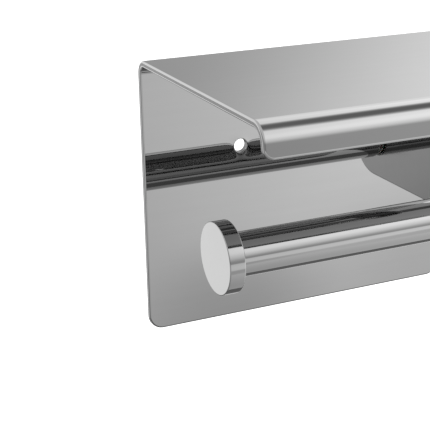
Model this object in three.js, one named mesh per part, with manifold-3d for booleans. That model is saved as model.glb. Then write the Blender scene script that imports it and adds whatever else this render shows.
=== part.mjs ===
// Wall-mounted toilet paper holder with a small shelf.
//
// One polished steel sheet is folded into a back plate, a shelf with a turned-down front lip,
// and a side ear. A round bar is held by the ear at one end and carries a disc on its free end.
//
// Millimetres. The origin is the centre of the back plate's rear face, which lies on the wall.
// +X points right as seen from the front, +Y into the wall, +Z up.

import * as THREE from 'three';
import { mergeVertices } from 'three/addons/utils/BufferGeometryUtils.js';
import Module from 'manifold-3d';

const wasm = await Module();
wasm.setup();

// ---------------------------------------------------------------- driving dimensions

const SHEET_WIDTH = 162;
const PLATE_HEIGHT = 130;
const SHEET = 3;
const BEND_INNER = 4;

const SHELF_REACH = 124.5; // wall to the line where shelf top and lip face would meet
const LIP_LENGTH = 12.9;
const LIP_BEND_INNER = 5.5; // the lip is rolled over a larger radius than the top bend
const LIP_SPLAY = THREE.MathUtils.degToRad(9.5); // lip face, away from the vertical

const PLATE_CORNER = 7;
const LIP_CORNER = 4;

const WALL_HOLE_RADIUS = 3.1;
const WALL_HOLE_OFFSET = 33; // each side of the middle
const WALL_HOLE_HEIGHT = 20;

const BAR_RADIUS = 9.5;
const BAR_WALL = 1.2;
const BAR_FORWARD = 65; // bar axis to wall
const BAR_HEIGHT = -7;

const EAR_RADIUS = 20.5;
const EAR_BEND_INNER = 5;
const EAR_RELIEF = 1.5;

const DISC_RADIUS = 15.4;
const DISC_THICKNESS = 7.2;
const DISC_INSET = 7.3; // disc's outer face to the sheet's left edge
const DISC_EDGE = 0.8;
const DISC_BORE_DEPTH = 5.5;

const THREAD_RADIUS = 3;
const PLUG_LENGTH = 20;
const STUD_END_GAP = 0.8;
const STUD_DEPTH = 16; // how far the stud reaches into its plug

const BUSH_FLANGE_RADIUS = 8;
const BUSH_FLANGE = 1.5;
const BUSH_RADIUS = 4.7;

const WASHER_RADIUS = 6.5;
const WASHER_THICKNESS = 1;

const HEAD_RADIUS = 5.5;
const HEAD_HEIGHT = 3.2;
const SOCKET_RADIUS = 2.3; // hexagon socket, across its corners
const SOCKET_DEPTH = 2;
const SCREW_REACH = 15; // how far the pivot screw reaches into its plug

const GAP = 0.3;

// ---------------------------------------------------------------- worked-out dimensions

const RIGHT = SHEET_WIDTH / 2;
const LEFT = -RIGHT;
const TOP = PLATE_HEIGHT / 2;
const BOTTOM = -TOP;

const EAR_INNER_FACE = RIGHT - SHEET;
const EAR_HOLE_RADIUS = BUSH_RADIUS + GAP;
const BORE_RADIUS = THREAD_RADIUS + GAP;

const DISC_FACE = LEFT + DISC_INSET;
const DISC_BACK = DISC_FACE + DISC_THICKNESS;
const BAR_START = DISC_BACK + GAP;
const BUSH_START = EAR_INNER_FACE - GAP - BUSH_FLANGE;
const BAR_END = BUSH_START - GAP;
const PLUG_RADIUS = BAR_RADIUS - BAR_WALL - GAP;
const WASHER_START = RIGHT + GAP;
const HEAD_START = WASHER_START + WASHER_THICKNESS + GAP;

const ROUND_SEGMENTS = 64;
const SMALL_SEGMENTS = 32;
const ARC_SEGMENTS = 8; // half the steps along each arc of an outline
const OVERLAP = 1; // how far cutters and joined pieces run past the face they meet

// ---------------------------------------------------------------- solids

function toSolid(geometry) {
  const bare = geometry.clone();
  bare.deleteAttribute('normal');
  bare.deleteAttribute('uv');
  const merged = mergeVertices(bare, 1e-5);
  return new wasm.Manifold(new wasm.Mesh({
    numProp: 3,
    vertProperties: new Float32Array(merged.attributes.position.array),
    triVerts: new Uint32Array(merged.index.array),
  }));
}

function toGeometry(solid) {
  const mesh = solid.getMesh();
  const indexed = new THREE.BufferGeometry();
  indexed.setAttribute('position', new THREE.BufferAttribute(mesh.vertProperties, 3));
  indexed.setIndex(new THREE.BufferAttribute(mesh.triVerts, 1));
  const flat = indexed.toNonIndexed();
  flat.computeVertexNormals();
  return flat;
}

function extrude(shape, depth) {
  const options = { depth, bevelEnabled: false, curveSegments: ARC_SEGMENTS };
  return new THREE.ExtrudeGeometry(shape, options);
}

// Outline drawn as (forward, up), extruded along X from one x to another.
function extrudeAlongX(shape, fromX, toX) {
  const geometry = extrude(shape, toX - fromX);
  const forward = new THREE.Vector3(0, -1, 0);
  const up = new THREE.Vector3(0, 0, 1);
  const along = new THREE.Vector3(-1, 0, 0);
  geometry.applyMatrix4(new THREE.Matrix4().makeBasis(forward, up, along));
  return geometry.translate(toX, 0, 0);
}

// Outline drawn as (right, forward), extruded along Z from one height to another.
function extrudeAlongZ(shape, fromZ, toZ) {
  const geometry = extrude(shape, toZ - fromZ);
  const right = new THREE.Vector3(1, 0, 0);
  const forward = new THREE.Vector3(0, -1, 0);
  const along = new THREE.Vector3(0, 0, -1);
  geometry.applyMatrix4(new THREE.Matrix4().makeBasis(right, forward, along));
  return geometry.translate(0, 0, toZ);
}

// Round hole cutter along X or Y, centred on a point.
function roundCutter(radius, length, axis, centre) {
  const geometry = new THREE.CylinderGeometry(radius, radius, length, SMALL_SEGMENTS);
  if (axis === 'x') geometry.rotateZ(Math.PI / 2);
  return toSolid(geometry.translate(...centre));
}

// Turned piece about the X axis; its profile is a closed list of [x, radius] points.
function turned(profile, segments = ROUND_SEGMENTS) {
  const points = profile.map(([x, radius]) => new THREE.Vector2(radius, x));
  const geometry = new THREE.LatheGeometry(points, segments);
  return geometry.rotateZ(-Math.PI / 2);
}

function ring(fromX, toX, outer, inner) {
  return turned([[fromX, inner], [fromX, outer], [toX, outer], [toX, inner], [fromX, inner]]);
}

// ---------------------------------------------------------------- folded sheet

// Side view of plate, shelf and lip: a strip of constant thickness with two bends.
function foldedProfile() {
  const outer = BEND_INNER + SHEET;
  const bendHeight = TOP - outer;
  const lipOuter = LIP_BEND_INNER + SHEET;
  const lipHeight = TOP - lipOuter;
  const lipTurn = Math.PI / 2 - LIP_SPLAY;
  const lipBend = SHELF_REACH - lipOuter * Math.tan(lipTurn / 2);
  const tipForward = SHELF_REACH + LIP_LENGTH * Math.sin(LIP_SPLAY);
  const tipUp = TOP - LIP_LENGTH * Math.cos(LIP_SPLAY);
  const shape = new THREE.Shape();
  shape.moveTo(0, BOTTOM);
  shape.lineTo(SHEET, BOTTOM);
  shape.absarc(outer, bendHeight, BEND_INNER, Math.PI, Math.PI / 2, true);
  shape.absarc(lipBend, lipHeight, LIP_BEND_INNER, Math.PI / 2, LIP_SPLAY, true);
  shape.lineTo(tipForward - SHEET * Math.cos(LIP_SPLAY), tipUp - SHEET * Math.sin(LIP_SPLAY));
  shape.lineTo(tipForward, tipUp);
  shape.absarc(lipBend, lipHeight, lipOuter, LIP_SPLAY, Math.PI / 2, false);
  shape.absarc(outer, bendHeight, outer, Math.PI / 2, Math.PI, false);
  shape.closePath();
  return shape;
}

// What is left outside a rounded corner whose sides run along +x and +y from the origin.
function cornerWaste(radius) {
  const shape = new THREE.Shape();
  shape.moveTo(-OVERLAP, -OVERLAP);
  shape.lineTo(radius, -OVERLAP);
  shape.absarc(radius, radius, radius, -Math.PI / 2, -Math.PI, true);
  shape.lineTo(-OVERLAP, radius);
  shape.closePath();
  return shape;
}

// Cutter for one lower corner: side is -1 for the left edge and 1 for the right edge.
function cornerCutter(radius, side, forward, height, splay) {
  const depth = 3 * SHEET;
  const geometry = extrude(cornerWaste(radius), depth).translate(0, 0, -depth / 2);
  geometry.rotateX(Math.PI / 2 - splay);
  if (side > 0) {
    geometry.scale(-1, 1, 1);
    geometry.setIndex([...Array(geometry.attributes.position.count).keys()].reverse());
  }
  return toSolid(geometry.translate(side * RIGHT, -forward, height));
}

function cornerCutters(side) {
  const middle = SHEET / 2;
  const tipForward = SHELF_REACH + LIP_LENGTH * Math.sin(LIP_SPLAY) - middle * Math.cos(LIP_SPLAY);
  const tipUp = TOP - LIP_LENGTH * Math.cos(LIP_SPLAY) - middle * Math.sin(LIP_SPLAY);
  return [
    cornerCutter(PLATE_CORNER, side, middle, BOTTOM, 0),
    cornerCutter(LIP_CORNER, side, tipForward, tipUp, LIP_SPLAY),
  ];
}

// Plan view of the ear: it leaves the plate, bends a quarter turn and runs forward.
function earPlan() {
  const outer = EAR_BEND_INNER + SHEET;
  const bendStart = RIGHT - outer;
  const front = BAR_FORWARD + EAR_RADIUS + OVERLAP;
  const shape = new THREE.Shape();
  shape.moveTo(bendStart - OVERLAP, 0);
  shape.lineTo(bendStart, 0);
  shape.absarc(bendStart, outer, outer, -Math.PI / 2, 0, false);
  shape.lineTo(RIGHT, front);
  shape.lineTo(EAR_INNER_FACE, front);
  shape.absarc(bendStart, outer, EAR_BEND_INNER, 0, -Math.PI / 2, true);
  shape.lineTo(bendStart - OVERLAP, SHEET);
  shape.closePath();
  return shape;
}

// Side view of the ear: straight edges and a half-round end about the bar's axis.
function earOutline() {
  const shape = new THREE.Shape();
  shape.moveTo(-OVERLAP, BAR_HEIGHT - EAR_RADIUS);
  shape.lineTo(BAR_FORWARD, BAR_HEIGHT - EAR_RADIUS);
  shape.absarc(BAR_FORWARD, BAR_HEIGHT, EAR_RADIUS, -Math.PI / 2, Math.PI / 2, false);
  shape.lineTo(-OVERLAP, BAR_HEIGHT + EAR_RADIUS);
  shape.closePath();
  return shape;
}

function ear() {
  const low = BAR_HEIGHT - EAR_RADIUS;
  const high = BAR_HEIGHT + EAR_RADIUS;
  const band = toSolid(extrudeAlongZ(earPlan(), low - OVERLAP, high + OVERLAP));
  const outline = toSolid(extrudeAlongX(earOutline(), RIGHT - 30, RIGHT + OVERLAP));
  const hole = roundCutter(EAR_HOLE_RADIUS, 4 * SHEET, 'x', [RIGHT, -BAR_FORWARD, BAR_HEIGHT]);
  return band.intersect(outline).subtract(hole);
}

// The plate is cut back to the ear's bend, with a narrow relief above and below the ear.
function earNotch() {
  const width = EAR_BEND_INNER + SHEET + OVERLAP;
  const height = 2 * (EAR_RADIUS + EAR_RELIEF);
  const box = new THREE.BoxGeometry(width, 3 * SHEET, height);
  return toSolid(box.translate(RIGHT + OVERLAP - width / 2, 0, BAR_HEIGHT));
}

function bodySheet() {
  let sheet = toSolid(extrudeAlongX(foldedProfile(), LEFT, RIGHT));
  for (const side of [-1, 1]) {
    for (const cutter of cornerCutters(side)) sheet = sheet.subtract(cutter);
    const centre = [side * WALL_HOLE_OFFSET, 0, WALL_HOLE_HEIGHT];
    sheet = sheet.subtract(roundCutter(WALL_HOLE_RADIUS, 4 * SHEET, 'y', centre));
  }
  return toGeometry(sheet.subtract(earNotch()).add(ear()));
}

// ---------------------------------------------------------------- bar, disc and fixings

function endDisc() {
  const boreEnd = DISC_BACK - DISC_BORE_DEPTH;
  return turned([
    [DISC_FACE, 0],
    [DISC_FACE, DISC_RADIUS - DISC_EDGE],
    [DISC_FACE + DISC_EDGE, DISC_RADIUS],
    [DISC_BACK - DISC_EDGE, DISC_RADIUS],
    [DISC_BACK, DISC_RADIUS - DISC_EDGE],
    [DISC_BACK, BORE_RADIUS],
    [boreEnd, BORE_RADIUS],
    [boreEnd, 0],
  ]);
}

function barTube() {
  return ring(BAR_START, BAR_END, BAR_RADIUS, BAR_RADIUS - BAR_WALL);
}

function discPlug() {
  return ring(BAR_START, BAR_START + PLUG_LENGTH, PLUG_RADIUS, BORE_RADIUS);
}

function rootPlug() {
  return ring(BAR_END - PLUG_LENGTH, BAR_END, PLUG_RADIUS, BORE_RADIUS);
}

function discStud() {
  const start = DISC_BACK - DISC_BORE_DEPTH + STUD_END_GAP;
  const end = BAR_START + STUD_DEPTH;
  return turned([[start, 0], [start, THREAD_RADIUS], [end, THREAD_RADIUS], [end, 0]], SMALL_SEGMENTS);
}

// Flanged plastic bush: the barrel fills the ear's hole, the flange spaces the bar off the ear.
function pivotBush() {
  const flangeEnd = BUSH_START + BUSH_FLANGE;
  return turned([
    [BUSH_START, BORE_RADIUS],
    [BUSH_START, BUSH_FLANGE_RADIUS],
    [flangeEnd, BUSH_FLANGE_RADIUS],
    [flangeEnd, BUSH_RADIUS],
    [RIGHT, BUSH_RADIUS],
    [RIGHT, BORE_RADIUS],
    [BUSH_START, BORE_RADIUS],
  ]);
}

function screwWasher() {
  return ring(WASHER_START, WASHER_START + WASHER_THICKNESS, WASHER_RADIUS, BORE_RADIUS);
}

// Button-head screw with a hexagon socket; its shank passes washer, bush and plug.
function pivotScrew() {
  const tip = BAR_END - SCREW_REACH;
  const headEnd = HEAD_START + HEAD_HEIGHT;
  const screw = toSolid(turned([
    [tip, 0],
    [tip, THREAD_RADIUS],
    [HEAD_START, THREAD_RADIUS],
    [HEAD_START, HEAD_RADIUS],
    [HEAD_START + 0.25 * HEAD_HEIGHT, HEAD_RADIUS],
    [HEAD_START + 0.6 * HEAD_HEIGHT, 0.86 * HEAD_RADIUS],
    [HEAD_START + 0.87 * HEAD_HEIGHT, 0.65 * HEAD_RADIUS],
    [headEnd, 0.45 * HEAD_RADIUS],
    [headEnd, 0],
  ], SMALL_SEGMENTS));
  const socket = new THREE.CylinderGeometry(SOCKET_RADIUS, SOCKET_RADIUS, SOCKET_DEPTH + OVERLAP, 6);
  socket.rotateZ(Math.PI / 2);
  const centreX = headEnd - SOCKET_DEPTH + (SOCKET_DEPTH + OVERLAP) / 2;
  return toGeometry(screw.subtract(toSolid(socket.translate(centreX, 0, 0))));
}

// ---------------------------------------------------------------- assembly

function piece(name, geometry, { color, roughness, metalness }) {
  const material = new THREE.MeshStandardMaterial({ color, roughness, metalness });
  const mesh = new THREE.Mesh(geometry, material);
  mesh.name = name;
  return mesh;
}

const POLISHED = { color: 0xc9cbcc, roughness: 0.08, metalness: 1 };
const ZINC = { color: 0x9a9da0, roughness: 0.4, metalness: 1 };
const BRASS = { color: 0xb08d4a, roughness: 0.35, metalness: 1 };
const NYLON = { color: 0xe4e2dc, roughness: 0.6, metalness: 0 };

function barAssembly() {
  const bar = new THREE.Group();
  bar.add(piece('bar_tube', barTube(), POLISHED));
  bar.add(piece('end_disc', endDisc(), POLISHED));
  bar.add(piece('disc_stud', discStud(), ZINC));
  bar.add(piece('disc_plug', discPlug(), BRASS));
  bar.add(piece('root_plug', rootPlug(), BRASS));
  bar.add(piece('pivot_bush', pivotBush(), NYLON));
  bar.add(piece('screw_washer', screwWasher(), NYLON));
  bar.add(piece('pivot_screw', pivotScrew(), POLISHED));
  bar.position.set(0, -BAR_FORWARD, BAR_HEIGHT);
  return bar;
}

const holder = new THREE.Group();
holder.add(piece('body_sheet', bodySheet(), POLISHED));
holder.add(barAssembly());

export default holder;
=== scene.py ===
import math

import bmesh
import bpy
from mathutils import Matrix, Vector


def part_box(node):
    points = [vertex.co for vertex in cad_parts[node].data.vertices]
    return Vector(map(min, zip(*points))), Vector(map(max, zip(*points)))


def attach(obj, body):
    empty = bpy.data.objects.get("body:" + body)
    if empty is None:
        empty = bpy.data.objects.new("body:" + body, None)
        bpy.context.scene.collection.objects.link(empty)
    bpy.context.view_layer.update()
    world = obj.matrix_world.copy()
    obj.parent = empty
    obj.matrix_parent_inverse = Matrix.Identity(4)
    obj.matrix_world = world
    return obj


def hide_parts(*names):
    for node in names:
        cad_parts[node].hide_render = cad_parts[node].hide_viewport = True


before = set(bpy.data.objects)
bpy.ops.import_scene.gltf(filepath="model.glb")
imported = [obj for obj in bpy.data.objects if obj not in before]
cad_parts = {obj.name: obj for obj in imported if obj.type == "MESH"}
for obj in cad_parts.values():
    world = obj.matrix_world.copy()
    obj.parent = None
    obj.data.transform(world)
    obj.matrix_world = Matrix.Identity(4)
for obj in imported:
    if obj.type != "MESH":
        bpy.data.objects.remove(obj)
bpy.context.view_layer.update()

# ------------------------------------------------------------------ sizes, in metres

MM = 0.001
SHEET_LOW, SHEET_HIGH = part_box("body_sheet")
BAR_LOW, BAR_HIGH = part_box("bar_tube")
DISC_LOW, DISC_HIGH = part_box("end_disc")
BUSH_LOW, BUSH_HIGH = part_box("pivot_bush")
WASHER_LOW, WASHER_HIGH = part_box("screw_washer")
SCREW_LOW, SCREW_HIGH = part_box("pivot_screw")

LEFT, RIGHT = SHEET_LOW.x, SHEET_HIGH.x
BOTTOM, TOP = SHEET_LOW.z, SHEET_HIGH.z
REACH = -SHEET_LOW.y

SHEET = 3.0 * MM
BEND_OUTER = 7.0 * MM
LIP_BEND_OUTER = 8.5 * MM
LIP_LENGTH = 12.9 * MM
LIP_SPLAY = math.radians(9.5)
SHELF_REACH = REACH - LIP_LENGTH * math.sin(LIP_SPLAY)
LIP_TURN = math.pi / 2 - LIP_SPLAY

PLATE_CORNER = 7.0 * MM
LIP_CORNER = 4.0 * MM
EDGE_ROUND = 0.9 * MM
RELIEF = 1.5 * MM

BAR_RADIUS = (BAR_HIGH.z - BAR_LOW.z) / 2
BAR_Z = (BAR_HIGH.z + BAR_LOW.z) / 2
BAR_Y = (BAR_HIGH.y + BAR_LOW.y) / 2
BAR_WALL = 1.2 * MM
AXIS = (0, BAR_Y, BAR_Z)
DISC_RADIUS = (DISC_HIGH.z - DISC_LOW.z) / 2
DISC_BORE_DEPTH = 5.5 * MM
BORE_RADIUS = 3.3 * MM

BUSH_FLANGE = 1.5 * MM
BUSH_RADIUS = 4.7 * MM
THREAD_RADIUS = 3.0 * MM
HEAD_HEIGHT = 3.2 * MM
SOCKET_RADIUS = 2.3 * MM
SOCKET_DEPTH = 2.0 * MM

EAR_RADIUS = 20.5 * MM
EAR_BEND_OUTER = 8.0 * MM
EAR_HOLE = 5.0 * MM
EAR_HOLE_ROUND = 0.4 * MM

WALL_HOLE = 3.1 * MM
WALL_HOLE_ROUND = 0.45 * MM
WALL_HOLE_X = 33 * MM
WALL_HOLE_Z = 20 * MM

# The punched rim around a wall hole: its slope at the hole, how fast that fades, and where it is drawn.
RIM_SLOPE = 0.06
RIM_FADE = 1.3 * MM
RIM_RINGS = (0.4, 0.8, 1.3, 1.9, 2.7, 3.7, 5.0, 7.0)  # in millimetres
RIM_END = 9.0 * MM

# Edge roundings of the turned pieces.
DISC_FRONT_ROUND = 0.45 * MM
DISC_BACK_ROUND = 0.7 * MM
BAR_END_ROUND = 0.35 * MM
BUSH_NOSE_ROUND = 0.25 * MM
BORE_ROUND = 0.2 * MM
SEAM_ROUND = 0.15 * MM
RIM_ROUND = 0.3 * MM
SEAM = 0.05 * MM  # between the bar and the disc's back

# How finely curves are divided.
EDGE_STEPS = 5
SHEET_CORNER_STEPS = 12
FEWEST_CORNER_STEPS = 4
TOP_BEND_STEPS = 20
LIP_BEND_STEPS = 16
EAR_BEND_STEPS = 18
WALL_HOLE_STEPS = 64
EAR_HOLE_STEPS = 48
BAR_STEPS = 160
DISC_STEPS = 200
SMALL_STEPS = 96
DOME_STEPS = 12
QUARTER_STEPS = 6

FLAT, CUT_EDGE = 0, 1  # the sheet's two materials
SHARP_ANGLE = math.radians(35)  # edges that bend more than this are drawn sharp
TINY = 1e-7

# ------------------------------------------------------------------ meshes


def face_outwards(bm):
    bmesh.ops.recalc_face_normals(bm, faces=bm.faces[:])
    if bm.calc_volume(signed=True) < 0:
        bmesh.ops.reverse_faces(bm, faces=bm.faces[:])


def add_piece(name, mesh, body, node):
    piece = bpy.data.objects.new(name, mesh)
    bpy.context.scene.collection.objects.link(piece)
    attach(piece, body)
    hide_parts(node)
    return piece


def rounded_outline(corners, steps):
    """Points and outward normals of a closed anticlockwise outline; each corner is (x, y, radius)."""
    out = []
    count = len(corners)
    for i, (x, y, radius) in enumerate(corners):
        here = Vector((x, y))
        before = (Vector(corners[i - 1][:2]) - here).normalized()
        after = (Vector(corners[(i + 1) % count][:2]) - here).normalized()
        half = before.angle(after) / 2
        centre = here + (before + after).normalized() * radius / math.sin(half)
        start = here + before * radius / math.tan(half)
        end = here + after * radius / math.tan(half)
        turn = before.x * after.y - before.y * after.x
        sign = 1 if turn < 0 else -1
        first = math.atan2(start.y - centre.y, start.x - centre.x)
        sweep = sign * (math.pi - 2 * half)
        arc_steps = max(FEWEST_CORNER_STEPS, round(steps * abs(sweep) / (math.pi / 2)))
        for k in range(arc_steps + 1):
            angle = first + sweep * k / arc_steps
            ray = Vector((math.cos(angle), math.sin(angle)))
            out.append((centre + ray * radius, ray * sign))
    return out


def circle_outline(x, y, radius, steps):
    """The same for a round hole: the outward normal points to the hole's middle."""
    out = []
    for k in range(steps):
        angle = -2 * math.pi * k / steps
        ray = Vector((math.cos(angle), math.sin(angle)))
        out.append((Vector((x, y)) + ray * radius, -ray))
    return out


def edge_section(rounding, thickness):
    """Cross-section of a rounded sheet edge: (inset, depth, normal outward, normal along depth)."""
    rear, front = [], []
    for k in range(EDGE_STEPS + 1):
        angle = math.pi / 2 * k / EDGE_STEPS
        sin, cos = math.sin(angle), math.cos(angle)
        rear.append((rounding * (1 - sin), rounding * (1 - cos), sin, -cos))
        front.append((rounding * (1 - cos), thickness - rounding * (1 - sin), cos, sin))
    return rear + front


def hole_section(rounding, thickness, rim_rings):
    """The same for a punched hole with a slightly raised front rim: a ring is (inset, rise, slope)."""
    rows = edge_section(rounding, thickness)
    return rows + [(rounding + inset, thickness + rise, slope, 1.0) for inset, rise, slope in rim_rings]


def blank_edge(bm, layer, outline, section):
    """Adds the edge strip along an outline; returns its rear and front boundary edges."""
    rows = []
    for inset, depth, out, along in section:
        row = []
        for point, normal in outline:
            place = point - normal * inset
            vertex = bm.verts.new((place.x, place.y, depth))
            vertex[layer] = Vector((normal.x * out, normal.y * out, along)).normalized()
            row.append(vertex)
        rows.append(row)
    count = len(outline)
    for step, (a, b) in enumerate(zip(rows, rows[1:])):
        for i in range(count):
            j = (i + 1) % count
            face = bm.faces.new((a[i], a[j], b[j], b[i]))
            face.material_index = CUT_EDGE if step == EDGE_STEPS else FLAT
    rear = [bm.edges.get((rows[0][i], rows[0][(i + 1) % count])) for i in range(count)]
    front = [bm.edges.get((rows[-1][i], rows[-1][(i + 1) % count])) for i in range(count)]
    return rear, front


PLATE_LENGTH = TOP - BOTTOM - BEND_OUTER
BEND1_LENGTH = BEND_OUTER * math.pi / 2
SHELF_LENGTH = SHELF_REACH - LIP_BEND_OUTER * math.tan(LIP_TURN / 2) - BEND_OUTER
BEND2_LENGTH = LIP_BEND_OUTER * LIP_TURN
LIP_FLAT = LIP_LENGTH - LIP_BEND_OUTER * math.tan(LIP_TURN / 2)
EAR_BEND_START = RIGHT - EAR_BEND_OUTER
EAR_BEND_LENGTH = EAR_BEND_OUTER * math.pi / 2
STRIP_MARKS = [0.0]
for part_length in (PLATE_LENGTH, BEND1_LENGTH, SHELF_LENGTH, BEND2_LENGTH, LIP_FLAT):
    STRIP_MARKS.append(STRIP_MARKS[-1] + part_length)
EAR_MIDDLE = BAR_Z - BOTTOM
EAR_END = EAR_BEND_START + EAR_BEND_LENGTH + (-BAR_Y - EAR_BEND_OUTER)


def fold_strip(s, w):
    """Forward, up and the local turn angle for a point of the blank at length s and depth w."""
    m1, m2, m3, m4 = STRIP_MARKS[1:5]
    middle1 = Vector((BEND_OUTER, TOP - BEND_OUTER))
    middle2 = Vector((BEND_OUTER + SHELF_LENGTH, TOP - LIP_BEND_OUTER))
    if s <= m1:
        return Vector((w, BOTTOM + s)), 0.0
    if s <= m2:
        turn = (s - m1) / BEND_OUTER
        ray = Vector((-math.cos(turn), math.sin(turn)))
        return middle1 + ray * (BEND_OUTER - w), turn
    if s <= m3:
        return Vector((BEND_OUTER + s - m2, TOP - w)), math.pi / 2
    if s <= m4:
        turn = math.pi / 2 + (s - m3) / LIP_BEND_OUTER
        ray = Vector((-math.cos(turn), math.sin(turn)))
        return middle2 + ray * (LIP_BEND_OUTER - w), turn
    turn = math.pi / 2 + LIP_TURN
    ray = Vector((-math.cos(turn), math.sin(turn)))
    along = Vector((math.sin(turn), math.cos(turn)))
    return middle2 + ray * (LIP_BEND_OUTER - w) + along * (s - m4), turn


def fold(p, n):
    """Place and normal of a blank vertex (x, length, depth) on the folded sheet."""
    x, s, w = p
    in_ear = x > EAR_BEND_START + TINY and abs(s - EAR_MIDDLE) < EAR_RADIUS + RELIEF / 2
    if in_ear:
        e = x - EAR_BEND_START
        turn = min(e / EAR_BEND_OUTER, math.pi / 2)
        rest = max(0.0, e - EAR_BEND_LENGTH)
        fx = EAR_BEND_START + (EAR_BEND_OUTER - w) * math.sin(turn)
        forward = EAR_BEND_OUTER - (EAR_BEND_OUTER - w) * math.cos(turn) + rest
        nx = n.x * math.cos(turn) - n.z * math.sin(turn)
        nf = n.x * math.sin(turn) + n.z * math.cos(turn)
        return Vector((fx, -forward, BOTTOM + s)), Vector((nx, -nf, n.y))
    place, turn = fold_strip(s, w)
    along = Vector((math.sin(turn), math.cos(turn)))
    inward = Vector((math.cos(turn), -math.sin(turn)))
    nf = along * n.y + inward * n.z
    return Vector((x, -place.x, place.y)), Vector((n.x, -nf.x, nf.y))


def sheet_outline():
    """The flat blank: plate, shelf and lip in one strip, with the ear between two relief notches."""
    low, high = EAR_MIDDLE - EAR_RADIUS, EAR_MIDDLE + EAR_RADIUS
    end = STRIP_MARKS[-1]
    small = EDGE_ROUND * 1.02  # just over the edge rounding, which has to fit inside it
    tight = RELIEF * 0.49  # two of these nearly make the notch's end a half circle
    ear_round = EAR_RADIUS * 0.9999  # two of these nearly make the ear's end a half circle
    ear_tip = EAR_END + EAR_RADIUS
    return rounded_outline([
        (LEFT, 0, PLATE_CORNER),
        (RIGHT, 0, PLATE_CORNER),
        (RIGHT, low - RELIEF, small),
        (EAR_BEND_START, low - RELIEF, tight),
        (EAR_BEND_START, low, tight),
        (ear_tip, low, ear_round),
        (ear_tip, high, ear_round),
        (EAR_BEND_START, high, tight),
        (EAR_BEND_START, high + RELIEF, tight),
        (RIGHT, high + RELIEF, small),
        (RIGHT, end, LIP_CORNER),
        (LEFT, end, LIP_CORNER),
    ], SHEET_CORNER_STEPS)


def bisect_lines():
    """Where the blank is cut so that the bends come out smooth: (co, no) of each cutting plane."""
    planes = []
    m1, m2, m3, m4 = STRIP_MARKS[1:5]
    for start, stop, steps in ((m1, m2, TOP_BEND_STEPS), (m3, m4, LIP_BEND_STEPS)):
        for k in range(steps + 1):
            s = start + (stop - start) * k / steps
            planes.append(((0, s, 0), (0, 1, 0)))
    for k in range(EAR_BEND_STEPS + 1):
        x = EAR_BEND_START + EAR_BEND_LENGTH * k / EAR_BEND_STEPS
        planes.append(((x, 0, 0), (1, 0, 0)))
    return planes


def rim_profile():
    """The punched rim: how far the front face stands up around a wall hole, dying away with distance."""
    rings = []
    for distance in RIM_RINGS:
        inset = distance * MM
        slope = RIM_SLOPE * math.exp(-inset / RIM_FADE)
        rings.append((inset, slope * RIM_FADE, -slope))
    rings.append((RIM_END, 0.0, 0.0))
    return rings


def make_sheet():
    """Draws the blank flat, cuts it where it bends, and folds it with its normals."""
    bm = bmesh.new()
    layer = bm.verts.layers.float_vector.new("blank_normal")
    rear, front = blank_edge(bm, layer, sheet_outline(), edge_section(EDGE_ROUND, SHEET))
    for side in (-1, 1):
        outline = circle_outline(side * WALL_HOLE_X, WALL_HOLE_Z - BOTTOM, WALL_HOLE, WALL_HOLE_STEPS)
        section = hole_section(WALL_HOLE_ROUND, SHEET, rim_profile())
        hole_rear, hole_front = blank_edge(bm, layer, outline, section)
        rear += hole_rear
        front += hole_front
    outline = circle_outline(EAR_END, EAR_MIDDLE, EAR_HOLE, EAR_HOLE_STEPS)
    hole_rear, hole_front = blank_edge(bm, layer, outline, edge_section(EAR_HOLE_ROUND, SHEET))
    bmesh.ops.triangle_fill(bm, use_beauty=True, edges=rear + hole_rear)
    bmesh.ops.triangle_fill(bm, use_beauty=True, edges=front + hole_front)
    for co, no in bisect_lines():
        geom = bm.verts[:] + bm.edges[:] + bm.faces[:]
        bmesh.ops.bisect_plane(bm, geom=geom, dist=TINY, plane_co=co, plane_no=no)
    normals = []
    for v in bm.verts:
        place, normal = fold(v.co.copy(), v[layer].copy())
        v.co = place
        normals.append(normal.normalized())
    face_outwards(bm)
    mesh = bpy.data.meshes.new("sheet")
    for face in bm.faces:
        face.smooth = True
    bm.to_mesh(mesh)
    bm.free()
    mesh.normals_split_custom_set_from_vertices(normals)
    return mesh


def turned_mesh(name, profile, steps, closed=False):
    """Piece turned about the bar's axis from (x, radius) points; a closed profile makes a ring."""
    bm = bmesh.new()
    rows = []
    for x, radius in profile:
        count = steps if radius > 0 else 1
        row = []
        for k in range(count):
            a = 2 * math.pi * k / count
            row.append(bm.verts.new((x, radius * math.cos(a), radius * math.sin(a))))
        rows.append(row)
    bridges = list(zip(rows, rows[1:]))
    if closed:
        bridges.append((rows[-1], rows[0]))
    for a, b in bridges:
        bridge(bm, a, b, steps)
    return finished(name, bm)


def bridge(bm, a, b, steps):
    """Joins two rings of vertices; a ring of one vertex is a point on the axis."""
    for k in range(steps):
        j = (k + 1) % steps
        if len(a) == 1:
            bm.faces.new((a[0], b[j], b[k]))
        elif len(b) == 1:
            bm.faces.new((a[k], a[j], b[0]))
        else:
            bm.faces.new((a[k], a[j], b[j], b[k]))


def finished(name, bm):
    """The mesh, moved onto the bar's axis."""
    bmesh.ops.translate(bm, vec=AXIS, verts=bm.verts[:])
    face_outwards(bm)
    mesh = bpy.data.meshes.new(name)
    for face in bm.faces:
        face.smooth = True
    bm.to_mesh(mesh)
    bm.free()
    return mesh


def loop_points(corners):
    """A closed profile with rounded corners, as (x, radius) points."""
    return [tuple(point) for point, normal in rounded_outline(corners, EDGE_STEPS)]


def keep_sharp(piece):
    """Splits the shading at hard edges and keeps flat faces flat."""
    bm = bmesh.new()
    bm.from_mesh(piece.data)
    for edge in bm.edges:
        if len(edge.link_faces) == 2 and edge.calc_face_angle(0) > SHARP_ANGLE:
            edge.smooth = False
    bm.to_mesh(piece.data)
    bm.free()
    weighted = piece.modifiers.new("weighted", "WEIGHTED_NORMAL")
    weighted.keep_sharp = True
    weighted.weight = 100


# ------------------------------------------------------------------ materials


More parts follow.
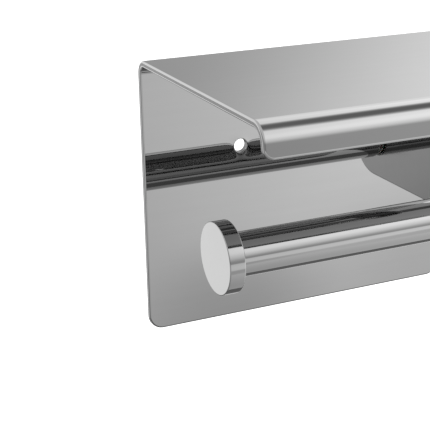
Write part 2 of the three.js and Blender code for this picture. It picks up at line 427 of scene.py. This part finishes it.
class Finish:
    """A node material that is built step by step; every pattern is laid out in metres on the piece."""

    def __init__(self, name, colour, metallic):
        self.material = bpy.data.materials.new(name)
        self.material.use_nodes = True
        self.nodes = self.material.node_tree.nodes
        self.links = self.material.node_tree.links
        self.shader = self.nodes["Principled BSDF"]
        self.shader.inputs["Base Color"].default_value = (*colour, 1)
        self.shader.inputs["Metallic"].default_value = metallic
        self.place = self.nodes.new("ShaderNodeTexCoord").outputs["Object"]
        self.height = None

    def stretched(self, scale, turn=(0, 0, 0)):
        """The place on the piece, with each axis scaled: a low number draws the pattern out along it."""
        node = self.nodes.new("ShaderNodeMapping")
        node.inputs["Rotation"].default_value = turn
        node.inputs["Scale"].default_value = scale
        self.links.new(self.place, node.inputs["Vector"])
        return node.outputs["Vector"]

    def noise(self, scale, detail=2.0, sharpness=0.5, stretch=(1, 1, 1)):
        node = self.nodes.new("ShaderNodeTexNoise")
        node.inputs["Scale"].default_value = scale
        node.inputs["Detail"].default_value = detail
        node.inputs["Roughness"].default_value = sharpness
        self.links.new(self.stretched(stretch), node.inputs["Vector"])
        return node.outputs["Fac"]

    def scratches(self, scale, turn, stretch):
        """Thin bright lines in one direction, from the ridges of a drawn-out cell pattern."""
        node = self.nodes.new("ShaderNodeTexVoronoi")
        node.feature = "DISTANCE_TO_EDGE"
        node.inputs["Scale"].default_value = scale
        self.links.new(self.stretched(stretch, turn), node.inputs["Vector"])
        line_width = 0.035
        return self.mapped(node.outputs["Distance"], 0.0, line_width, 1.0, 0.0)

    def mapped(self, value, low, high, start, end):
        """Goes from start to end as value goes from low to high."""
        node = self.nodes.new("ShaderNodeMapRange")
        self.links.new(value, node.inputs["Value"])
        node.inputs["From Min"].default_value = low
        node.inputs["From Max"].default_value = high
        node.inputs["To Min"].default_value = start
        node.inputs["To Max"].default_value = end
        return node.outputs["Result"]

    def combined(self, operation, first, second):
        node = self.nodes.new("ShaderNodeMath")
        node.operation = operation
        self.links.new(first, node.inputs[0])
        self.links.new(second, node.inputs[1])
        return node.outputs[0]

    def colour(self, value, low, high):
        """Base colour that runs between two shades with a pattern."""
        node = self.nodes.new("ShaderNodeMix")
        node.data_type = "RGBA"
        self.links.new(value, node.inputs["Factor"])
        node.inputs["A"].default_value = (*low, 1)
        node.inputs["B"].default_value = (*high, 1)
        self.links.new(node.outputs["Result"], self.shader.inputs["Base Color"])

    def roughness(self, value):
        self.links.new(value, self.shader.inputs["Roughness"])

    def bump(self, value, depth):
        """Stacks one more relief, its depth in metres, on those already there."""
        node = self.nodes.new("ShaderNodeBump")
        node.inputs["Strength"].default_value = 1.0
        node.inputs["Distance"].default_value = depth
        self.links.new(value, node.inputs["Height"])
        if self.height is not None:
            self.links.new(self.height, node.inputs["Normal"])
        self.height = node.outputs["Normal"]
        self.links.new(self.height, self.shader.inputs["Normal"])


def polished_steel(name, shade, low, high):
    """Mirror-polished stainless steel: wiping haze, hairline scratches and a faint waviness.

    Its roughness runs between low and high, and a little above in a scratch.
    """
    steel = Finish(name, (shade, shade, shade), 1.0)
    haze = steel.noise(scale=22, detail=4.0, sharpness=0.6)
    wiping = steel.noise(scale=260, detail=3.0, sharpness=0.6, stretch=(0.06, 1, 1))
    waves = steel.noise(scale=9, detail=1.0)
    marks = steel.combined("MULTIPLY", haze, wiping)
    steel.colour(marks, (shade * 0.96,) * 3, (shade * 1.06,) * 3)
    lines = steel.scratches(scale=55, turn=(0.0, 0.4, 0.12), stretch=(0.05, 1, 1))
    handled = steel.mapped(steel.noise(scale=30), low=0.52, high=0.68, start=0.0, end=1.0)
    hairs = steel.mapped(steel.combined("MULTIPLY", lines, handled), low=0, high=1, start=0.0, end=0.05)
    cloud = steel.mapped(marks, low=0.12, high=0.4, start=low, end=high)
    steel.roughness(steel.combined("ADD", cloud, hairs))
    steel.bump(waves, depth=0.012 * MM)
    steel.bump(wiping, depth=0.00035 * MM)
    return steel.material


def cut_edge():
    """The sheet's cut edge between its polished roundings: darker, with the cut's fine grooves."""
    edge = Finish("cut_edge_steel", (0.16, 0.16, 0.16), 1.0)
    grooves = edge.noise(scale=700, detail=3.0, sharpness=0.7)
    edge.colour(grooves, (0.12, 0.12, 0.12), (0.22, 0.22, 0.22))
    edge.roughness(edge.mapped(grooves, low=0.3, high=0.7, start=0.22, end=0.4))
    edge.bump(grooves, depth=0.008 * MM)
    return edge.material


def turned_metal(name, colour, low, high):
    """Metal with fine turning marks around the bar's axis and a little tarnish."""
    metal = Finish(name, colour, 1.0)
    marks = metal.noise(scale=900, detail=3.0, sharpness=0.7, stretch=(1, 0.08, 0.08))
    tarnish = metal.noise(scale=180, detail=4.0, sharpness=0.6)
    metal.colour(tarnish, [c * 0.9 for c in colour], [min(1.0, c * 1.06) for c in colour])
    worn = metal.combined("MULTIPLY", marks, tarnish)
    metal.roughness(metal.mapped(worn, low=0.1, high=0.45, start=low, end=high))
    metal.bump(marks, depth=0.004 * MM)
    return metal.material


def moulded_nylon():
    """Off-white nylon: slightly uneven colour, a fine moulded grain and a soft gloss."""
    nylon = Finish("nylon", (0.72, 0.71, 0.67), 0.0)
    cloud = nylon.noise(scale=240, detail=3.0, sharpness=0.6)
    grain = nylon.noise(scale=2600, detail=2.0, sharpness=0.6)
    nylon.colour(cloud, (0.66, 0.65, 0.60), (0.76, 0.75, 0.71))
    nylon.roughness(nylon.mapped(cloud, low=0.3, high=0.7, start=0.42, end=0.58))
    nylon.bump(grain, depth=0.012 * MM)
    nylon.shader.inputs["Subsurface Weight"].default_value = 0.12
    nylon.shader.inputs["Subsurface Scale"].default_value = 1.5 * MM
    return nylon.material


# ------------------------------------------------------------------ pieces


def quarter(x, radius, size, first):
    """Rounded edge of a turned piece: a quarter circle inside the corner (x, radius)."""
    side = 1 if first else -1
    arc = [math.pi / 2 * k / QUARTER_STEPS for k in range(QUARTER_STEPS + 1)]
    points = [
        (x + side * (size - size * math.cos(a)), radius - size + size * math.sin(a))
        for a in arc
    ]
    return points if first else points[::-1]


def bar_mesh():
    """The tube, which reaches the disc's back but for a fine seam."""
    inner = BAR_RADIUS - BAR_WALL
    start = DISC_HIGH.x + SEAM
    return turned_mesh("bar", loop_points([
        (start, inner, SEAM_ROUND),
        (BAR_HIGH.x, inner, BORE_ROUND),
        (BAR_HIGH.x, BAR_RADIUS, BAR_END_ROUND),
        (start, BAR_RADIUS, SEAM_ROUND),
    ]), BAR_STEPS, closed=True)


def disc_mesh():
    """The end disc, with a blind bore for its stud in the back."""
    bore_end = DISC_HIGH.x - DISC_BORE_DEPTH
    return turned_mesh("disc", [
        (DISC_LOW.x, 0.0),
        *quarter(DISC_LOW.x, DISC_RADIUS, DISC_FRONT_ROUND, True),
        *quarter(DISC_HIGH.x, DISC_RADIUS, DISC_BACK_ROUND, False),
        (DISC_HIGH.x, BORE_RADIUS),
        (bore_end, BORE_RADIUS),
        (bore_end, 0.0),
    ], DISC_STEPS)


def bush_mesh():
    """The flanged bush in the ear's hole."""
    flange_end = BUSH_LOW.x + BUSH_FLANGE
    flange_radius = (BUSH_HIGH.z - BUSH_LOW.z) / 2
    return turned_mesh("bush", loop_points([
        (BUSH_LOW.x, BORE_RADIUS, BORE_ROUND),
        (BUSH_HIGH.x, BORE_RADIUS, BORE_ROUND),
        (BUSH_HIGH.x, BUSH_RADIUS, BUSH_NOSE_ROUND),
        (flange_end, BUSH_RADIUS, SEAM_ROUND),
        (flange_end, flange_radius, RIM_ROUND),
        (BUSH_LOW.x, flange_radius, RIM_ROUND),
    ]), SMALL_STEPS, closed=True)


def washer_mesh():
    radius = (WASHER_HIGH.z - WASHER_LOW.z) / 2
    return turned_mesh("washer", loop_points([
        (WASHER_LOW.x, BORE_RADIUS, SEAM_ROUND),
        (WASHER_HIGH.x, BORE_RADIUS, SEAM_ROUND),
        (WASHER_HIGH.x, radius, RIM_ROUND),
        (WASHER_LOW.x, radius, RIM_ROUND),
    ]), SMALL_STEPS, closed=True)


def screw_mesh():
    """Button-head screw: chamfered shank, domed head and a hexagon socket with a rounded lead-in."""
    radius = (SCREW_HIGH.z - SCREW_LOW.z) / 2
    head = SCREW_HIGH.x - HEAD_HEIGHT
    skirt = 0.25 * HEAD_HEIGHT
    rim = 1.16 * SOCKET_RADIUS
    chamfer = 0.7 * MM
    head_edge = 0.2 * MM
    round_rows = [
        (SCREW_LOW.x, 0.0),
        (SCREW_LOW.x, THREAD_RADIUS - chamfer),
        (SCREW_LOW.x + chamfer, THREAD_RADIUS),
        (head, THREAD_RADIUS),
        (head, radius - head_edge),
        (head + head_edge, radius),
    ]
    for k in range(DOME_STEPS + 1):
        a = math.pi / 2 * k / DOME_STEPS
        x = head + skirt + (HEAD_HEIGHT - skirt) * math.sin(a)
        round_rows.append((x, rim + (radius - rim) * math.cos(a)))
    floor = SCREW_HIGH.x - SOCKET_DEPTH
    lead_in_start, lead_in_end = 0.05 * MM, 0.2 * MM
    hexagon_rows = [
        (SCREW_HIGH.x - lead_in_start, 1.04 * SOCKET_RADIUS),
        (SCREW_HIGH.x - lead_in_end, SOCKET_RADIUS),
        (floor, SOCKET_RADIUS),
    ]
    drill_point = 0.4 * MM
    bm = bmesh.new()
    rows = [ring_row(bm, x, r, False) for x, r in round_rows]
    rows += [ring_row(bm, x, r, True) for x, r in hexagon_rows]
    rows.append(ring_row(bm, floor - drill_point, 0.0, False))
    for a, b in zip(rows, rows[1:]):
        bridge(bm, a, b, SMALL_STEPS)
    return finished("screw", bm)


def ring_row(bm, x, radius, hexagon):
    """One ring of vertices, round or six-sided, or a single point where the radius is nil."""
    if radius == 0:
        return [bm.verts.new((x, 0, 0))]
    row = []
    for k in range(SMALL_STEPS):
        a = 2 * math.pi * k / SMALL_STEPS
        off_corner = a % (math.pi / 3) - math.pi / 6
        r = radius * math.cos(math.pi / 6) / math.cos(off_corner) if hexagon else radius
        row.append(bm.verts.new((x, r * math.cos(a), r * math.sin(a))))
    return row


STEEL = polished_steel("polished_steel", shade=0.48, low=0.008, high=0.03)
CUT_STEEL = cut_edge()
BAR_STEEL = polished_steel("polished_bar_steel", shade=0.46, low=0.02, high=0.045)
SCREW_STEEL = turned_metal("screw_steel", (0.50, 0.50, 0.51), low=0.10, high=0.22)
ZINC = turned_metal("zinc_steel", (0.55, 0.56, 0.58), low=0.28, high=0.45)
BRASS = turned_metal("brass", (0.62, 0.45, 0.20), low=0.20, high=0.38)
NYLON = moulded_nylon()

folded_sheet = add_piece("folded_sheet", make_sheet(), "holder", "body_sheet")
folded_sheet.data.materials.append(STEEL)
folded_sheet.data.materials.append(CUT_STEEL)

for name, mesh, body, slot, node, material in (
    ("bar", bar_mesh(), "bar", "polished_steel", "bar_tube", BAR_STEEL),
    ("disc", disc_mesh(), "bar", "polished_steel", "end_disc", BAR_STEEL),
    ("bush", bush_mesh(), "holder", "nylon", "pivot_bush", NYLON),
    ("washer", washer_mesh(), "bar", "nylon", "screw_washer", NYLON),
    ("screw", screw_mesh(), "bar", "polished_steel", "pivot_screw", SCREW_STEEL),
):
    piece = add_piece(name, mesh, body, node)
    piece.data.materials.append(material)
    keep_sharp(piece)

for node, material in (("disc_stud", ZINC), ("disc_plug", BRASS), ("root_plug", BRASS)):
    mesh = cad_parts[node].data
    mesh.materials.clear()
    mesh.materials.append(material)

# ------------------------------------------------------------------ camera, floor and light

FOCAL_LENGTH = 91.35  # in millimetres, as the sensor's width
SENSOR_WIDTH = 36
CAMERA_PLACE = (-0.23751, -0.44620, 0.16087)
CAMERA_VIEW = (0.37243, 0.86449, -0.33756)
CAMERA_ROLL = math.radians(-1.07)
NEAREST_SEEN = 0.01

WHITE = (1, 1, 1, 1)
FLOOR_Z = -0.42
FLOOR_REACH = 4.0
FLOOR_COLOUR = (0.9, 0.9, 0.9)
FLOOR_GLOW = 0.6
# Painted shade: a dark card under the shelf, seen only in reflections, that stands in for the shadow
# cast there.
SHADE_CARD_Z = -0.1
SHADE_CARD_LOW = (-0.25, -0.066)
SHADE_CARD_HIGH = (0.35, 0.0)
SHADE_CARD_COLOUR = (0.02, 0.02, 0.02)
SHADE_CARD_GLOW = 0.15


def add_camera():
    data = bpy.data.cameras.new("camera")
    data.lens = FOCAL_LENGTH
    data.sensor_width = SENSOR_WIDTH
    data.clip_start = NEAREST_SEEN
    camera = bpy.data.objects.new("camera", data)
    bpy.context.scene.collection.objects.link(camera)
    turn = Vector(CAMERA_VIEW).to_track_quat("-Z", "Y").to_matrix()
    turn = turn @ Matrix.Rotation(CAMERA_ROLL, 3, "Z")
    camera.matrix_world = Matrix.Translation(CAMERA_PLACE) @ turn.to_4x4()
    bpy.context.scene.camera = camera


def stage_plane(name, low, high, height, colour, glow):
    """A level rectangle of the studio between two (x, y) corners."""
    mesh = bpy.data.meshes.new(name)
    (left, near), (right, far) = low, high
    corners = [(left, near, 0), (right, near, 0), (right, far, 0), (left, far, 0)]
    mesh.from_pydata(corners, [], [(0, 1, 2, 3)])
    plane = bpy.data.objects.new(name, mesh)
    bpy.context.scene.collection.objects.link(plane)
    plane.location.z = height
    material = bpy.data.materials.new(name)
    material.use_nodes = True
    shader = material.node_tree.nodes["Principled BSDF"]
    shader.inputs["Base Color"].default_value = (*colour, 1)
    shader.inputs["Roughness"].default_value = 0.9
    shader.inputs["Emission Color"].default_value = WHITE
    shader.inputs["Emission Strength"].default_value = glow
    mesh.materials.append(material)
    return plane


def add_floor():
    """A plain pale floor, which the mirror surfaces don't see: the studio's curve stands in for it."""
    low, high = (-FLOOR_REACH, -FLOOR_REACH), (FLOOR_REACH, FLOOR_REACH)
    floor = stage_plane("floor", low, high, FLOOR_Z, FLOOR_COLOUR, FLOOR_GLOW)
    floor.visible_glossy = False


def add_painted_shade_card():
    """Painted shade: a dark grey, faintly glowing card under the object that stands in for the shadow
    beneath the shelf and that only its mirror surfaces see.
    """
    card = stage_plane("painted_shade_card", SHADE_CARD_LOW, SHADE_CARD_HIGH, SHADE_CARD_Z, SHADE_CARD_COLOUR, SHADE_CARD_GLOW)
    card.visible_camera = False
    card.visible_diffuse = False
    card.visible_shadow = False


# Brightness of the studio against height, in degrees above the horizon: white tent above, table below.
HEIGHT_LIGHT = [
    (-90, 0.50), (-60, 0.62), (-40, 0.74), (-24, 0.88), (-16, 0.98), (-8, 0.96), (-4, 0.86), (-1, 0.48),
    (6, 0.62), (12, 0.88), (20, 1.12), (33, 1.36), (45, 1.28), (90, 1.15),
]
FULL = 2.0  # the brightest value that the height curve can hold

# Soft round patches that pull the light to a level: azimuth, height, inner and outer radius, level.
# Angles are in degrees; azimuth 0 is straight in front of the holder, 90 is to its right.
PATCHES = [
    (86, 60, 3, 23, 0.21),  # high on the right
    (-85, -10, 25, 48, 0.45),  # the left side
    (-155, 0, 22, 40, 1.25),  # behind, on the left
    (180, -38, 8, 20, 0.12),  # low behind
    (25, -28, 1, 8, 0.56),  # low in front, on the right
    (38, -27, 3, 12, 0.80),  # the same, further right
    (-31, -14, 1, 8, 0.98),  # low in front, on the left
]


class Studio:
    """Soft tent light as a world shader: brightness by direction, built from a few soft patches."""

    def __init__(self):
        world = bpy.data.worlds.new("studio")
        bpy.context.scene.world = world
        world.use_nodes = True
        self.nodes = world.node_tree.nodes
        self.links = world.node_tree.links
        self.background = self.nodes["Background"]
        self.background.inputs["Color"].default_value = WHITE
        self.direction = self.nodes.new("ShaderNodeTexCoord").outputs["Generated"]

    def feed(self, value, socket):
        """Links a node's output, or sets a plain number."""
        if isinstance(value, bpy.types.NodeSocket):
            self.links.new(value, socket)
        else:
            socket.default_value = value

    def math(self, operation, *values):
        node = self.nodes.new("ShaderNodeMath")
        node.operation = operation
        for socket, value in zip(node.inputs, values):
            self.feed(value, socket)
        return node.outputs[0]

    def ramp(self, value, low, high, start=0.0, end=1.0):
        """Smooth step from start to end as value goes from low to high."""
        node = self.nodes.new("ShaderNodeMapRange")
        node.interpolation_type = "SMOOTHSTEP"
        self.links.new(value, node.inputs["Value"])
        node.inputs["From Min"].default_value = low
        node.inputs["From Max"].default_value = high
        node.inputs["To Min"].default_value = start
        node.inputs["To Max"].default_value = end
        return node.outputs[0]

    def along(self, axis):
        """The direction's component along an axis, 1 where it points that way."""
        node = self.nodes.new("ShaderNodeVectorMath")
        node.operation = "DOT_PRODUCT"
        self.links.new(self.direction, node.inputs[0])
        node.inputs[1].default_value = Vector(axis).normalized()
        return node.outputs["Value"]

    def by_height(self, levels):
        """The light's level from its angle above the horizon."""
        height = self.math("ARCSINE", self.along((0, 0, 1)))
        place = self.math("MULTIPLY_ADD", height, 1 / math.pi, 0.5)
        node = self.nodes.new("ShaderNodeFloatCurve")
        self.links.new(place, node.inputs["Value"])
        curve = node.mapping.curves[0]
        points = [((angle + 90) / 180, level / FULL) for angle, level in levels]
        curve.points[0].location = points[0]
        curve.points[1].location = points[-1]
        for point in points[1:-1]:
            curve.points.new(*point)
        node.mapping.update()
        return self.math("MULTIPLY", node.outputs[0], FULL)

    def patch(self, light, azimuth, height, inner, outer, level):
        """Pulls the light towards a level inside a soft round patch; all angles in degrees."""
        a, h = math.radians(azimuth), math.radians(height)
        axis = (math.cos(h) * math.sin(a), -math.cos(h) * math.cos(a), math.sin(h))
        mask = self.ramp(self.along(axis), math.cos(math.radians(outer)), math.cos(math.radians(inner)))
        return self.blend(light, level, mask)

    def blend(self, light, level, mask):
        """The light where mask is 0, the level where it is 1."""
        node = self.nodes.new("ShaderNodeMix")
        node.data_type = "FLOAT"
        self.links.new(mask, node.inputs["Factor"])
        self.feed(light, node.inputs["A"])
        self.feed(level, node.inputs["B"])
        return node.outputs["Result"]


def add_light():
    """Brighter to the right, with a far side that shades the shelf's top; plain white to the camera."""
    studio = Studio()
    light = studio.by_height(HEIGHT_LIGHT)
    sideways = studio.ramp(studio.along((1, 0, 0)), low=0.1, high=0.7, start=0.68, end=1.30)
    light = studio.math("MULTIPLY", light, sideways)
    far_side = studio.ramp(studio.along((1, 0, 0.9)), low=0.38, high=0.66, start=0.46, end=1.22)
    light = studio.patch(light, azimuth=152, height=12, inner=12, outer=32, level=far_side)
    for patch in PATCHES:
        light = studio.patch(light, *patch)
    seen = studio.nodes.new("ShaderNodeLightPath").outputs["Is Camera Ray"]
    strength = studio.blend(light, 1.0, seen)
    studio.links.new(strength, studio.background.inputs["Strength"])


add_camera()
add_floor()
# painted shade under the shelf, seen only in the mirror surfaces
add_painted_shade_card()
add_light()
bpy.context.scene.view_settings.view_transform = "Standard"  # keeps white white
